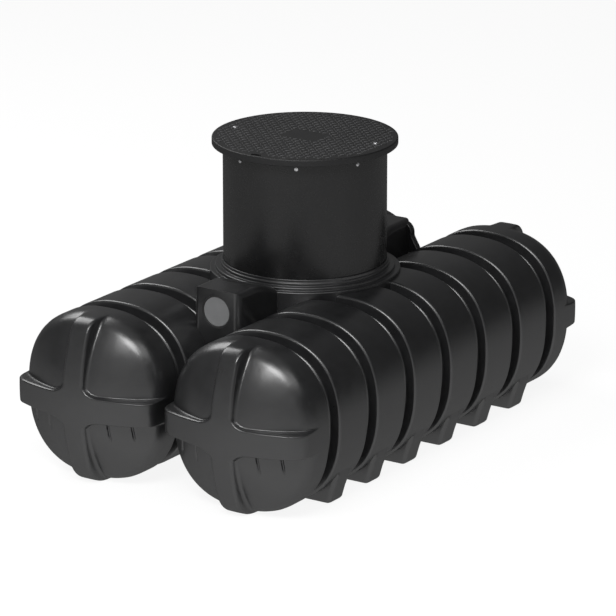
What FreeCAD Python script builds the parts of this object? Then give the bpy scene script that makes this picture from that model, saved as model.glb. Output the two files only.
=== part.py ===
import FreeCAD, Part
import math
import os

import Sketcher

# Shallow rainwater tank: two ribbed tubes along Y, side by side across X, under a round collar with
# an access shaft and cover. Millimetres, +Z up, feet on Z = 0, shaft axis on X = Y = 0.

doc = FreeCAD.newDocument("rainwater_tank")
dims = doc.addObject("Spreadsheet::Sheet", "dims")

driving_dimensions = {
    # tubes
    "tube_spacing": 617,
    "axis_height": 311,
    "rib_radius": 306,
    "groove_radius": 260,
    "rib_pitch": 248.6,
    "rib_width": 181.7,
    "groove_draft": 5,
    "shell_wall": 10,
    "joint_flat_half": 60,
    "joint_flat_root": 235,
    "manhole_radius": 240,
    "manhole_floor": -40,
    # feet under the ribs
    "foot_half_width": 237,
    "foot_top_half_width": 250,
    "foot_length": 94,
    "foot_corner": 22,
    "foot_root": -170,
    # domed ends
    "quarter_apex": 1013,
    "quarter_knuckle": 88,
    "quarter_crown": 455,
    "band_apex": 1024,
    "band_knuckle": 70,
    "band_crown": 730,
    "upright_band_half": 53,
    "level_band_half": 44,
    "level_band_drop": 7,
    "band_corner": 25,
    "band_reach": 340,
    "toe_half_width": 50,
    "toe_front": 925,
    "toe_back": 790,
    "toe_rise": 40,
    "toe_corner": 15,
    # neck collar
    "collar_radius": 350,
    "collar_wall": 12,
    "collar_foot": 381,
    "collar_ledge_radius": 272,
    "collar_shoulder": 626,
    "collar_step_height": 12,
    "collar_step_width": 20,
    "collar_lip_radius": 306,
    "collar_lip_height": 11,
    "shaft_seat": 631,
    "ledge_thickness": 14,
    "seam_gap": 0.3,
    # pipe connectors
    "connector_half_width": 100,
    "connector_face": 578,
    "connector_top": 679,
    "connector_crest": 440,
    "connector_foot": 383,
    "connector_back_top": 637,
    "connector_corner": 25,
    "connector_round": 20,
    "pipe_radius": 55,
    "pipe_height": 597,
    "seal_width": 5,
    "plug_recess": 3,
    "plug_depth": 20,
    "socket_depth": 60,
    # access shaft and cover
    "shaft_radius": 300,
    "shaft_wall": 10,
    "shaft_top": 1086,
    "seat_width": 30,
    "seat_height": 28,
    "cover_radius": 340,
    "cover_top": 1120,
    "cover_plate": 18,
    "cover_rim_inner": 284,
    "cover_edge": 4,
}
for row, (word, number) in enumerate(driving_dimensions.items(), start=1):
    dims.set(f"A{row}", word)
    dims.set(f"B{row}", str(number))
    dims.setAlias(f"B{row}", word)
doc.recompute()


def value(text):
    """Number that an expression on the sheet gives."""
    return float(dims.evalExpression(text))


def draw_outline(sketch, corners, arcs=None):
    """Closed outline through corners given as expressions; arcs maps a corner's index to the radius of
    the arc that leaves it, negative where the arc turns clockwise."""
    arcs = arcs or {}
    points = [FreeCAD.Vector(value(x), value(y), 0) for x, y in corners]
    starts, ends = [], []
    for index, start in enumerate(points):
        end = points[(index + 1) % len(points)]
        if index not in arcs:
            geometry = Part.LineSegment(start, end)
            starts.append(1)
            ends.append(2)
        else:
            radius = value(arcs[index])
            turn = math.copysign(1, radius)
            chord = end - start
            rise = math.sqrt(radius ** 2 - (chord.Length / 2) ** 2)
            across = FreeCAD.Vector(-chord.y, chord.x, 0).normalize() * rise * turn
            centre = (start + end) * 0.5 + across
            first, last = (start, end) if turn > 0 else (end, start)
            angles = [math.atan2(p.y - centre.y, p.x - centre.x) for p in (first, last)]
            circle = Part.Circle(centre, FreeCAD.Vector(0, 0, 1), abs(radius))
            geometry = Part.ArcOfCircle(circle, angles[0], angles[1])
            starts.append(1 if turn > 0 else 2)
            ends.append(2 if turn > 0 else 1)
        sketch.addGeometry(geometry, False)
    for index in range(len(points)):
        after = (index + 1) % len(points)
        sketch.addConstraint(Sketcher.Constraint("Coincident", index, ends[index], after, starts[after]))
    for index, corner in enumerate(corners):
        for axis, kind, text in ((-2, "DistanceX", corner[0]), (-1, "DistanceY", corner[1])):
            if text == "0":
                sketch.addConstraint(Sketcher.Constraint("PointOnObject", index, starts[index], axis))
                continue
            rule = Sketcher.Constraint(kind, -1, 1, index, starts[index], value(text))
            sketch.setExpression(f"Constraints[{sketch.addConstraint(rule)}]", text)
    for index, text in arcs.items():
        rule = Sketcher.Constraint("Radius", index, abs(value(text)))
        sketch.setExpression(f"Constraints[{sketch.addConstraint(rule)}]", f"abs({text})")


def draw_circle(sketch, centre, radius):
    """One circle with its centre and radius given as expressions."""
    middle = FreeCAD.Vector(value(centre[0]), value(centre[1]), 0)
    sketch.addGeometry(Part.Circle(middle, FreeCAD.Vector(0, 0, 1), value(radius)), False)
    rules = (
        (Sketcher.Constraint("DistanceX", -1, 1, 0, 3, middle.x), centre[0]),
        (Sketcher.Constraint("DistanceY", -1, 1, 0, 3, middle.y), centre[1]),
        (Sketcher.Constraint("Radius", 0, value(radius)), radius),
    )
    for rule, text in rules:
        sketch.setExpression(f"Constraints[{sketch.addConstraint(rule)}]", text)


def bare_sketch(body, name, plane):
    """Empty sketch on one of a body's own origin planes."""
    sketch = body.newObject("Sketcher::SketchObject", name)
    planes = [feature for feature in body.Origin.OriginFeatures if feature.Role == plane]
    sketch.AttachmentSupport = [(planes[0], "")]
    sketch.MapMode = "FlatFace"
    return sketch


def body_sketch(body, name, plane, corners, arcs=None):
    """Sketch with a closed outline on one of a body's own origin planes."""
    sketch = bare_sketch(body, name, plane)
    draw_outline(sketch, corners, arcs)
    return sketch


def add_feature(body, kind, name, sketch, **settings):
    """PartDesign feature on a sketch; texts starting with = are bound to the sheet."""
    feature = body.newObject(f"PartDesign::{kind}", name)
    feature.Profile = sketch
    for key, setting in settings.items():
        if isinstance(setting, str) and setting.startswith("="):
            feature.setExpression(key, setting[1:])
        else:
            setattr(feature, key, setting)
    return feature


def turned_body(name, plane, corners, arcs=None):
    """Body turned about its sketch's upright axis."""
    body = doc.addObject("PartDesign::Body", name)
    sketch = body_sketch(body, f"{name}_outline", plane, corners, arcs)
    add_feature(body, "Revolution", f"{name}_turned", sketch, ReferenceAxis=(sketch, ["V_Axis"]))
    return body


def combine(kind, name, base, tool):
    """Part::Cut, Part::Fuse or Part::Common of two objects."""
    result = doc.addObject(f"Part::{kind}", name)
    result.Base = base
    result.Tool = tool
    return result


def combine_all(name, pieces):
    """Fusion of several objects."""
    result = doc.addObject("Part::MultiFuse", name)
    result.Shapes = pieces
    return result


def place(piece, x="0", y="0", z="0", turn=0):
    """Binds an object's place to the sheet, turned about Z by whole degrees."""
    piece.Placement.Rotation = FreeCAD.Rotation(FreeCAD.Vector(0, 0, 1), turn)
    for axis, text in (("x", x), ("y", y), ("z", z)):
        piece.setExpression(f"Placement.Base.{axis}", text)
    return piece


sub_parts = {}
tube_sides = {"left": "-dims.tube_spacing / 2", "right": "dims.tube_spacing / 2"}
rib_count = 6
manhole_ribs = (3, 4)
half_pitch = "dims.rib_pitch / 2"
half_rib = "dims.rib_width / 2"


def rib_corners(inset):
    """Half outline of one rib from groove to groove; inset moves it into the wall."""
    floor = f"dims.groove_radius - {inset}"
    crest = f"dims.rib_radius - {inset}"
    foot_of_wall = f"{half_rib} + dims.groove_draft - {inset}"
    top_of_wall = f"{half_rib} - {inset}"
    return [
        ("0", f"-{half_pitch}"),
        (floor, f"-{half_pitch}"),
        (floor, f"-({foot_of_wall})"),
        (crest, f"-({top_of_wall})"),
        (crest, top_of_wall),
        (floor, foot_of_wall),
        (floor, half_pitch),
        ("0", half_pitch),
    ]


def rectangle(left, right, bottom, top):
    return [(left, bottom), (right, bottom), (right, top), (left, top)]


def rib(side, number):
    """One ring of the corrugated shell with its foot and the flat where the two tubes meet."""
    name = f"{side}_rib_{number}"
    body = turned_body(name, "XY_Plane", rib_corners("0"))
    foot = [
        ("-dims.foot_half_width", "-dims.axis_height + dims.foot_corner"),
        ("-dims.foot_half_width + dims.foot_corner", "-dims.axis_height"),
        ("dims.foot_half_width - dims.foot_corner", "-dims.axis_height"),
        ("dims.foot_half_width", "-dims.axis_height + dims.foot_corner"),
        ("dims.foot_top_half_width", "dims.foot_root"),
        ("-dims.foot_top_half_width", "dims.foot_root"),
    ]
    foot_arcs = {0: "dims.foot_corner", 2: "dims.foot_corner"}
    sketch = body_sketch(body, f"{name}_foot_outline", "XZ_Plane", foot, foot_arcs)
    add_feature(body, "Pad", f"{name}_foot", sketch, SideType="Symmetric", Length="=dims.foot_length")

    inward = "" if side == "left" else "-"
    flat_edges = sorted([f"{inward}dims.joint_flat_root", f"{inward}dims.tube_spacing / 2"], key=value)
    sketch = body_sketch(
        body, f"{name}_flat_outline", "XY_Plane", rectangle(*flat_edges, f"-{half_pitch}", half_pitch)
    )
    flat_height = "=dims.joint_flat_half * 2"
    add_feature(body, "Pad", f"{name}_flat", sketch, SideType="Symmetric", Length=flat_height)

    sketch = body_sketch(body, f"{name}_hollow_outline", "XY_Plane", rib_corners("dims.shell_wall"))
    add_feature(body, "Groove", f"{name}_hollow", sketch, ReferenceAxis=(sketch, ["V_Axis"]))

    rib_place = f"({number} - {(rib_count + 1) / 2}) * dims.rib_pitch"
    if number in manhole_ribs:
        sketch = bare_sketch(body, f"{name}_manhole_outline", "XY_Plane")
        sketch.setExpression("AttachmentOffset.Base.z", "dims.manhole_floor")
        draw_circle(sketch, (f"{inward}dims.tube_spacing / 2", f"-{rib_place}"), "dims.manhole_radius")
        add_feature(body, "Pocket", f"{name}_manhole", sketch, Type="ThroughAll", Reversed=True)
    place(body, tube_sides[side], rib_place, "dims.axis_height")
    sub_parts[name] = body


def dome_outline(apex, knuckle, crown, inset):
    """Corners and arcs of a dished end towards -Y: crown arc, knuckle arc and straight flange."""
    apex = f"({apex} - {inset})"
    knuckle = f"({knuckle} - {inset})"
    crown = f"({crown} - {inset})"
    rim = f"(dims.rib_radius - {inset})"
    reach = f"sqrt(({crown} - {knuckle})^2 - ({rim} - {knuckle})^2)"
    knuckle_start = f"({apex} - {crown} + {reach})"
    join = f"({crown} / ({crown} - {knuckle}))"
    corners = [
        ("0", f"-{apex}"),
        (f"{join} * ({rim} - {knuckle})", f"-({apex} - {crown} + {join} * {reach})"),
        (rim, f"-{knuckle_start}"),
    ]
    return corners, {0: crown, 1: knuckle}


end_start = f"({rib_count / 2} * dims.rib_pitch)"
flange_start = f"({end_start} + {half_pitch} - {half_rib})"


def end_corners(inset):
    """Quarter-dome outline with the half groove that joins it to the first rib."""
    corners, arcs = dome_outline("dims.quarter_apex", "dims.quarter_knuckle", "dims.quarter_crown", inset)
    floor = f"dims.groove_radius - {inset}"
    corners += [
        (f"dims.rib_radius - {inset}", f"-({flange_start} + {inset})"),
        (floor, f"-({flange_start} - dims.groove_draft + {inset})"),
        (floor, f"-{end_start}"),
        ("0", f"-{end_start}"),
    ]
    return corners, arcs


def cross_outline():
    """Cross of an upright and a level band with rounded inner corners, seen along the tube."""
    reach = "dims.band_reach"
    side = "dims.upright_band_half"
    round_side = f"({side} + dims.band_corner)"
    corners, arcs = [], {}
    quadrants = ((1, -1), (1, 1), (-1, 1), (-1, -1))
    for across, along in quadrants:
        edge = f"({along} * dims.level_band_half - dims.level_band_drop)"
        rounded_edge = f"({along} * (dims.level_band_half + dims.band_corner) - dims.level_band_drop)"
        upright = [
            (f"{across} * {side}", f"{along} * {reach}"),
            (f"{across} * {side}", rounded_edge),
        ]
        level = [
            (f"{across} * {round_side}", edge),
            (f"{across} * {reach}", edge),
        ]
        run = upright + level if across * along < 0 else level[::-1] + upright[::-1]
        arcs[len(corners) + 1] = "-dims.band_corner"
        corners += run
    return corners, arcs


def rounded_front(half, front, back, corner):
    """Plan of a block whose two corners towards -Y are rounded."""
    corners = [
        (f"-{half} + {corner}", f"-{front}"),
        (f"{half} - {corner}", f"-{front}"),
        (half, f"-{front} + {corner}"),
        (half, f"-{back}"),
        (f"-{half}", f"-{back}"),
        (f"-{half}", f"-{front} + {corner}"),
    ]
    return corners, {1: corner, 5: corner}


def domed_end(side, facing):
    """Domed end shell: four rounded quarters, a proud cross of bands and a toe foot."""
    name = f"{side}_{facing}_end"
    quarters = turned_body(f"{name}_quarters", "XY_Plane", *end_corners("0"))
    hollow = turned_body(f"{name}_hollow", "XY_Plane", *end_corners("dims.shell_wall"))

    corners, arcs = dome_outline("dims.band_apex", "dims.band_knuckle", "dims.band_crown", "0")
    corners += [("dims.rib_radius", f"-{flange_start}"), ("0", f"-{flange_start}")]
    band_dome = turned_body(f"{name}_band_dome", "XY_Plane", corners, arcs)

    cross = doc.addObject("PartDesign::Body", f"{name}_cross")
    sketch = body_sketch(cross, f"{name}_cross_outline", "XZ_Plane", *cross_outline())
    add_feature(cross, "Pad", f"{name}_cross_pad", sketch, Length="=dims.band_apex + dims.shell_wall")
    bands = combine("Common", f"{name}_bands", band_dome, cross)

    toe = doc.addObject("PartDesign::Body", f"{name}_toe")
    plan = rounded_front("dims.toe_half_width", "dims.toe_front", "dims.toe_back", "dims.toe_corner")
    sketch = body_sketch(toe, f"{name}_toe_outline", "XY_Plane", *plan)
    sketch.setExpression("AttachmentOffset.Base.z", "-dims.axis_height")
    add_feature(toe, "Pad", f"{name}_toe_pad", sketch, Length="=dims.toe_rise")

    filled = combine_all(f"{name}_filled", [quarters, bands, toe])
    shell = combine("Cut", name, filled, hollow)
    place(shell, tube_sides[side], "0", "dims.axis_height", 0 if facing == "front" else 180)
    sub_parts[name] = shell


def left_envelope():
    """Filled left tube grown by the seam gap, for trimming what sits on it."""
    radius = "dims.rib_radius + dims.seam_gap"
    floor = "dims.groove_radius + dims.seam_gap"
    corners = [("0", f"-{end_start}")]
    for number in range(1, rib_count + 1):
        middle = f"(({number} - {(rib_count + 1) / 2}) * dims.rib_pitch)"
        foot_of_wall = f"({half_rib} + dims.groove_draft + dims.seam_gap)"
        top_of_wall = f"({half_rib} + dims.seam_gap)"
        if number == 1:
            corners.append((floor, f"-{end_start}"))
        corners += [
            (floor, f"{middle} - {foot_of_wall}"),
            (radius, f"{middle} - {top_of_wall}"),
            (radius, f"{middle} + {top_of_wall}"),
            (floor, f"{middle} + {foot_of_wall}"),
        ]
    corners += [(floor, end_start), ("0", end_start)]
    body = turned_body("left_envelope", "XY_Plane", corners)
    return place(body, tube_sides["left"], "0", "dims.axis_height")


def seat_on_tubes(name, blank, envelope):
    """Trims a blank that straddles the valley to both tubes: its left half is cut and then mirrored."""
    side = doc.addObject("Part::Box", f"{name}_side")
    side.setExpression("Length", "dims.tube_spacing")
    side.setExpression("Width", "dims.tube_spacing * 2")
    side.setExpression("Height", "dims.cover_top")
    place(side, "-dims.tube_spacing", "-dims.tube_spacing", "0")
    half = combine("Common", f"{name}_half", blank, side)
    trimmed = combine("Cut", f"{name}_trimmed", half, envelope)
    other = doc.addObject("Part::Mirroring", f"{name}_other")
    other.Source = trimmed
    other.Normal = FreeCAD.Vector(1, 0, 0)
    whole = combine("Fuse", name, trimmed, other)
    whole.Refine = True
    sub_parts[name] = whole


def collar_corners():
    """Skirt, shoulder, two rising steps, a thin lip and the inner ledge that the shaft stands on."""
    step = "dims.collar_step_width"
    rise = "dims.collar_step_height"
    bore = "dims.shaft_radius + dims.seam_gap"
    inner = "dims.collar_radius - dims.collar_wall"
    under = "dims.shaft_seat - dims.ledge_thickness"
    return [
        ("dims.collar_radius", "dims.collar_foot"),
        ("dims.collar_radius", "dims.collar_shoulder"),
        (f"dims.collar_radius - {step}", "dims.collar_shoulder"),
        (f"dims.collar_radius - {step}", f"dims.collar_shoulder + {rise}"),
        (f"dims.collar_radius - 2 * {step}", f"dims.collar_shoulder + {rise}"),
        (f"dims.collar_radius - 2 * {step}", f"dims.collar_shoulder + 2 * {rise}"),
        ("dims.collar_lip_radius", f"dims.collar_shoulder + 2 * {rise}"),
        ("dims.collar_lip_radius", f"dims.collar_shoulder + 2 * {rise} + dims.collar_lip_height"),
        (bore, f"dims.collar_shoulder + 2 * {rise} + dims.collar_lip_height"),
        (bore, "dims.shaft_seat"),
        ("dims.collar_ledge_radius", "dims.shaft_seat"),
        ("dims.collar_ledge_radius", under),
        (inner, under),
        (inner, "dims.collar_foot"),
    ]


def neck_collar(envelope):
    blank = turned_body("collar_blank", "XZ_Plane", collar_corners())
    seat_on_tubes("neck_collar", blank, envelope)


def round_top_edges(block, pad, name):
    """Rounds a connector block's long upper edges, which lie along its two sides."""
    doc.recompute()
    lowest = value("dims.connector_back_top") - value("dims.seam_gap")
    chosen = []
    for number, edge in enumerate(pad.Shape.Edges, start=1):
        ends = [vertex.Point for vertex in edge.Vertexes]
        along_side = abs(ends[0].x - ends[1].x) < value("dims.seam_gap")
        if along_side and min(end.z for end in ends) > lowest and abs(ends[0].y - ends[1].y) > 1:
            chosen.append(f"Edge{number}")
    fillet = block.newObject("PartDesign::Fillet", name)
    fillet.Base = (pad, chosen)
    fillet.setExpression("Radius", "dims.connector_round")


def connector(facing, envelope):
    """Pipe connector in the valley: rounded block with a falling back, a socket, seal and plug."""
    turn = 0 if facing == "front" else 180
    name = f"{facing}_connector"
    block = doc.addObject("PartDesign::Body", f"{name}_block")
    side_outline = [
        ("-dims.connector_face", "dims.connector_foot"),
        ("-dims.shaft_radius", "dims.connector_foot"),
        ("-dims.shaft_radius", "dims.connector_back_top"),
        ("-dims.collar_radius", "dims.connector_back_top"),
        ("-dims.connector_crest", "dims.connector_top"),
        ("-dims.connector_face", "dims.connector_top"),
    ]
    sketch = body_sketch(block, f"{name}_side", "YZ_Plane", side_outline)
    half = "dims.connector_half_width"
    pad = add_feature(block, "Pad", f"{name}_pad", sketch, SideType="Symmetric", Length=f"={half} * 2")
    round_top_edges(block, pad, f"{name}_top_round")

    plan = doc.addObject("PartDesign::Body", f"{name}_plan")
    plan_outline = rounded_front(half, "dims.connector_face", "dims.shaft_radius", "dims.connector_corner")
    sketch = body_sketch(plan, f"{name}_plan_outline", "XY_Plane", *plan_outline)
    add_feature(plan, "Pad", f"{name}_plan_pad", sketch, Length="=dims.cover_top")
    rounded = combine("Common", f"{name}_rounded", block, plan)

    neck = doc.addObject("Part::Cylinder", f"{name}_neck")
    neck.setExpression("Radius", "dims.collar_radius + dims.seam_gap")
    neck.setExpression("Height", "dims.cover_top")
    seated = combine("Cut", f"{name}_seated", rounded, neck)

    socket = doc.addObject("Part::Cylinder", f"{name}_socket")
    socket.setExpression("Radius", "dims.pipe_radius + dims.seal_width")
    socket.setExpression("Height", "dims.socket_depth")
    stand_up = FreeCAD.Rotation(FreeCAD.Vector(1, 0, 0), -90)
    socket.Placement.Rotation = stand_up
    socket.setExpression("Placement.Base.y", "-dims.connector_face")
    socket.setExpression("Placement.Base.z", "dims.pipe_height")
    bored = combine("Cut", f"{name}_bored", seated, socket)
    place(bored, turn=turn)
    seat_on_tubes(name, bored, envelope)

    seal = turned_body(
        f"{facing}_pipe_seal",
        "XY_Plane",
        rectangle("dims.pipe_radius", "dims.pipe_radius + dims.seal_width", "0", "dims.socket_depth"),
    )
    plug = turned_body(
        f"{facing}_plug",
        "XY_Plane",
        rectangle("0", "dims.pipe_radius", "dims.plug_recess", "dims.plug_recess + dims.plug_depth"),
    )
    outward = "-" if facing == "front" else ""
    for piece in (seal, plug):
        face = f"{outward}dims.connector_face"
        sub_parts[piece.Name] = place(piece, "0", face, "dims.pipe_height", turn)


def shaft_and_cover():
    inside = "dims.shaft_radius - dims.shaft_wall"
    shaft = rectangle(inside, "dims.shaft_radius", "dims.shaft_seat", "dims.shaft_top")
    sub_parts["access_shaft"] = turned_body("access_shaft", "XZ_Plane", shaft)
    seat_edge = f"{inside} - dims.seam_gap"
    seat_foot = "dims.shaft_top - dims.seat_height"
    seat = rectangle(f"{inside} - dims.seat_width", seat_edge, seat_foot, "dims.shaft_top")
    sub_parts["cover_seat"] = turned_body("cover_seat", "XZ_Plane", seat)
    cover = [
        ("0", "dims.cover_top"),
        ("0", "dims.cover_top - dims.cover_plate"),
        ("dims.cover_rim_inner", "dims.cover_top - dims.cover_plate"),
        ("dims.cover_rim_inner", "dims.shaft_top"),
        ("dims.cover_radius", "dims.shaft_top"),
        ("dims.cover_radius", "dims.cover_top - dims.cover_edge"),
        ("dims.cover_radius - dims.cover_edge", "dims.cover_top"),
    ]
    sub_parts["cover"] = turned_body("cover", "XZ_Plane", cover, {5: "dims.cover_edge"})


for tube_side in tube_sides:
    for rib_number in range(1, rib_count + 1):
        rib(tube_side, rib_number)
    for end_facing in ("front", "back"):
        domed_end(tube_side, end_facing)
left_tube = left_envelope()
neck_collar(left_tube)
for connector_facing in ("front", "back"):
    connector(connector_facing, left_tube)
shaft_and_cover()
doc.recompute()

for item in doc.Objects:
    if "Invalid" in item.State or "Error" in item.State:
        raise RuntimeError(f"{item.Name} failed: {item.State}")
os.makedirs("parts", exist_ok=True)
cubic_mm_per_litre = 1e6
for node, piece in sub_parts.items():
    piece.Label = node
    if piece.Shape.isNull() or not piece.Shape.isValid():
        raise RuntimeError(f"{node} has no valid shape")
    solids = piece.Shape.Solids
    print(node, len(solids), "solid", round(piece.Shape.Volume / cubic_mm_per_litre, 3), "litres")
    piece.Shape.exportStep(f"parts/{node}.step")
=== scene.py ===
import math

import bmesh
import bpy
from mathutils import Matrix, Vector


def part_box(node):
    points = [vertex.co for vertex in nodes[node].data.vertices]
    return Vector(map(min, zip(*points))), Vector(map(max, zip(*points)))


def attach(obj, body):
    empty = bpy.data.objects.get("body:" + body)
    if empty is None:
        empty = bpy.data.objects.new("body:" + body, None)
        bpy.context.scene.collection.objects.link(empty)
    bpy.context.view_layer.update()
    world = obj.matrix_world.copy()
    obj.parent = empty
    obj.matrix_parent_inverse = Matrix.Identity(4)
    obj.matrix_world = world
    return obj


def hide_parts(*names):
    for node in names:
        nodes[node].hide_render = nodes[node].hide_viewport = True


# Shallow rainwater tank in black moulded plastic: metres, +Z up, tubes along Y, feet on the floor.

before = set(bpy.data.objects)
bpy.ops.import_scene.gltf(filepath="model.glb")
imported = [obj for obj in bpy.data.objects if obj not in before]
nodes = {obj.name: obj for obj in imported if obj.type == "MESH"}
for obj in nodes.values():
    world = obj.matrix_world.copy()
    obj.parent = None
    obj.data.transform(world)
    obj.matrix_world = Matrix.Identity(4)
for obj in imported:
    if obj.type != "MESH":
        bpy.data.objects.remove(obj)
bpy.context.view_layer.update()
# how near two places have to be to count as one, strictly and loosely
hair = 1e-5
slack = 0.001
print("frame loaded:", len(nodes), "nodes")


# Small tools for modelling by operator

def startEdit(piece):
    bpy.ops.object.select_all(action="DESELECT")
    piece.select_set(True)
    bpy.context.view_layer.objects.active = piece
    bpy.ops.object.mode_set(mode="EDIT")
    bpy.ops.mesh.select_mode(type="VERT")
    bpy.ops.mesh.select_all(action="SELECT")


def endEdit():
    bpy.ops.object.mode_set(mode="OBJECT")


def pick(piece, kind, test):
    # selects the vertices, edges or faces of the edited mesh that pass the test
    bpy.ops.mesh.select_mode(type=kind)
    bpy.ops.mesh.select_all(action="DESELECT")
    mesh = bmesh.from_edit_mesh(piece.data)
    parts = {"VERT": mesh.verts, "EDGE": mesh.edges, "FACE": mesh.faces}[kind]
    for part in parts:
        if test(part):
            part.select_set(True)
    mesh.select_flush_mode()
    bmesh.update_edit_mesh(piece.data)


def middle(edge):
    return (edge.verts[0].co + edge.verts[1].co) / 2


def runsAlong(edge, axis):
    way = (edge.verts[1].co - edge.verts[0].co).normalized()
    return abs(way[axis]) > 0.99


def newPiece(name):
    # names the primitive just added and moves its place into its mesh
    piece = bpy.context.object
    piece.name = name
    bpy.ops.object.transform_apply(location=True, rotation=True, scale=True)
    return piece


def addBlock(name, low, high):
    bpy.ops.object.select_all(action="DESELECT")
    size = Vector(high) - Vector(low)
    bpy.ops.mesh.primitive_cube_add(size=1, location=(Vector(low) + Vector(high)) / 2, scale=size)
    return newPiece(name)


def addRod(name, radius, depth, place, turn=(0, 0, 0), sides=64):
    bpy.ops.object.select_all(action="DESELECT")
    bpy.ops.mesh.primitive_cylinder_add(
        vertices=sides, radius=radius, depth=depth, location=place, rotation=turn)
    return newPiece(name)


def bevelEdges(piece, test, width, steps):
    startEdit(piece)
    pick(piece, "EDGE", test)
    bpy.ops.mesh.bevel(offset=width, segments=steps, affect="EDGES", clamp_overlap=True)
    endEdit()


def tidyMesh(piece, gap=0.00002):
    startEdit(piece)
    bpy.ops.mesh.remove_doubles(threshold=gap)
    bpy.ops.mesh.normals_make_consistent(inside=False)
    endEdit()


def boolean(piece, operation, tool, keepTool=False):
    modifier = piece.modifiers.new(operation.lower(), "BOOLEAN")
    modifier.operation = operation
    modifier.object = tool
    modifier.solver = "EXACT"
    bpy.ops.object.select_all(action="DESELECT")
    bpy.context.view_layer.objects.active = piece
    bpy.ops.object.modifier_apply(modifier=modifier.name)
    if not keepTool:
        bpy.data.objects.remove(tool)


def smoothShade(piece, angle=35):
    bpy.ops.object.select_all(action="DESELECT")
    piece.select_set(True)
    bpy.context.view_layer.objects.active = piece
    bpy.ops.object.shade_smooth_by_angle(angle=math.radians(angle))
    modifier = piece.modifiers.new("evenNormals", "WEIGHTED_NORMAL")
    modifier.keep_sharp = True
    bpy.ops.object.modifier_apply(modifier=modifier.name)


def copyPiece(piece, name, move):
    # a copy with a mesh of its own, moved in the mesh by a matrix
    twin = piece.copy()
    twin.data = piece.data.copy()
    twin.name = name
    bpy.context.scene.collection.objects.link(twin)
    twin.data.transform(move)
    if move.determinant() < 0:
        twin.data.flip_normals()
    return twin


def drop(*pieces):
    for piece in pieces:
        bpy.data.objects.remove(piece)


def roundCorners(corners, steps):
    # corners are (across, along, radius); a radius makes an arc tangent to both sides
    points = []
    for index, (across, along, radius) in enumerate(corners):
        here = Vector((across, along))
        if not radius:
            points.append(here)
            continue
        before = (Vector(corners[index - 1][:2]) - here).normalized()
        after = (Vector(corners[(index + 1) % len(corners)][:2]) - here).normalized()
        half = before.angle(after) / 2
        centre = here + (before + after).normalized() * radius / math.sin(half)
        start = here + before * radius / math.tan(half) - centre
        end = here + after * radius / math.tan(half) - centre
        for step in range(steps + 1):
            points.append(centre + start.slerp(end, step / steps).normalized() * radius)
    return points


def drawOutline(name, points):
    # a new piece in edit mode, drawn by extruding a point from corner to corner
    bpy.ops.object.select_all(action="DESELECT")
    bpy.ops.mesh.primitive_plane_add(size=0.01, location=points[0])
    piece = newPiece(name)
    startEdit(piece)
    bpy.ops.mesh.merge(type="CENTER")
    for here, there in zip(points, points[1:]):
        bpy.ops.mesh.extrude_vertices_move(TRANSFORM_OT_translate={"value": there - here})
    return piece


def spinPiece(name, points, centre, axis, turns, closed=True):
    piece = drawOutline(name, points)
    if closed:
        ends = (points[0], points[-1])
        pick(piece, "VERT", lambda vert: min((vert.co - end).length for end in ends) < hair)
        bpy.ops.mesh.edge_face_add()
    bpy.ops.mesh.select_all(action="SELECT")
    bpy.ops.mesh.spin(steps=turns, angle=math.tau, center=centre, axis=axis, use_auto_merge=True)
    endEdit()
    tidyMesh(piece)
    return piece


def extrudePiece(name, points, way):
    piece = drawOutline(name, points)
    bpy.ops.mesh.select_all(action="SELECT")
    bpy.ops.mesh.edge_face_add()
    bpy.ops.mesh.extrude_region_move(TRANSFORM_OT_translate={"value": way})
    endEdit()
    tidyMesh(piece)
    return piece


def finishPiece(piece, material, slotName, *nodeNames):
    piece.data.materials.clear()
    piece.data.materials.append(material)
    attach(piece, "root")
    if nodeNames:
        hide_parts(*nodeNames)


# Shader maths: a wire is one socket, and sums of wires add Math nodes

class Wire:
    def __init__(self, tree, socket):
        self.tree = tree
        self.socket = socket

    def node(self, kind, settings=None, inputs=None, output=0):
        made = self.tree.nodes.new(kind)
        for key, setting in (settings or {}).items():
            setattr(made, key, setting)
        for key, value in (inputs or {}).items():
            if isinstance(value, Wire):
                self.tree.links.new(value.socket, made.inputs[key])
            else:
                made.inputs[key].default_value = value
        return Wire(self.tree, made.outputs[output])

    def maths(self, operation, first, second):
        return self.node("ShaderNodeMath", {"operation": operation}, {0: first, 1: second})

    def __add__(self, other):
        return self.maths("ADD", self, other)

    def __rsub__(self, other):
        return self.maths("SUBTRACT", other, self)

    def __mul__(self, other):
        return self.maths("MULTIPLY", self, other)

    def noise(self, scale, detail=3, rough=0.55):
        return self.node(
            "ShaderNodeTexNoise", {},
            {"Vector": self, "Scale": scale, "Detail": detail, "Roughness": rough})

    def blend(self, low, high):
        # colour between two, by this wire
        return self.node(
            "ShaderNodeMix", {"data_type": "RGBA"},
            {0: self, 6: (*low, 1), 7: (*high, 1)}, 2)

    def between(self, fromLow, fromHigh, toLow, toHigh):
        return self.node(
            "ShaderNodeMapRange", {},
            {"Value": self, 1: fromLow, 2: fromHigh, 3: toLow, 4: toHigh})


def newFinish(name):
    # a material with its shader, and the wire of Object coordinates to build on
    material = bpy.data.materials.new(name)
    material.use_nodes = True
    tree = material.node_tree
    shader = tree.nodes["Principled BSDF"]
    place = Wire(tree, None).node("ShaderNodeTexCoord", {}, {}, 3)
    return material, shader, place


def feed(shader, **wires):
    for socket, wire in wires.items():
        shader.id_data.links.new(wire.socket, shader.inputs[socket.replace("_", " ")])


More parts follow.
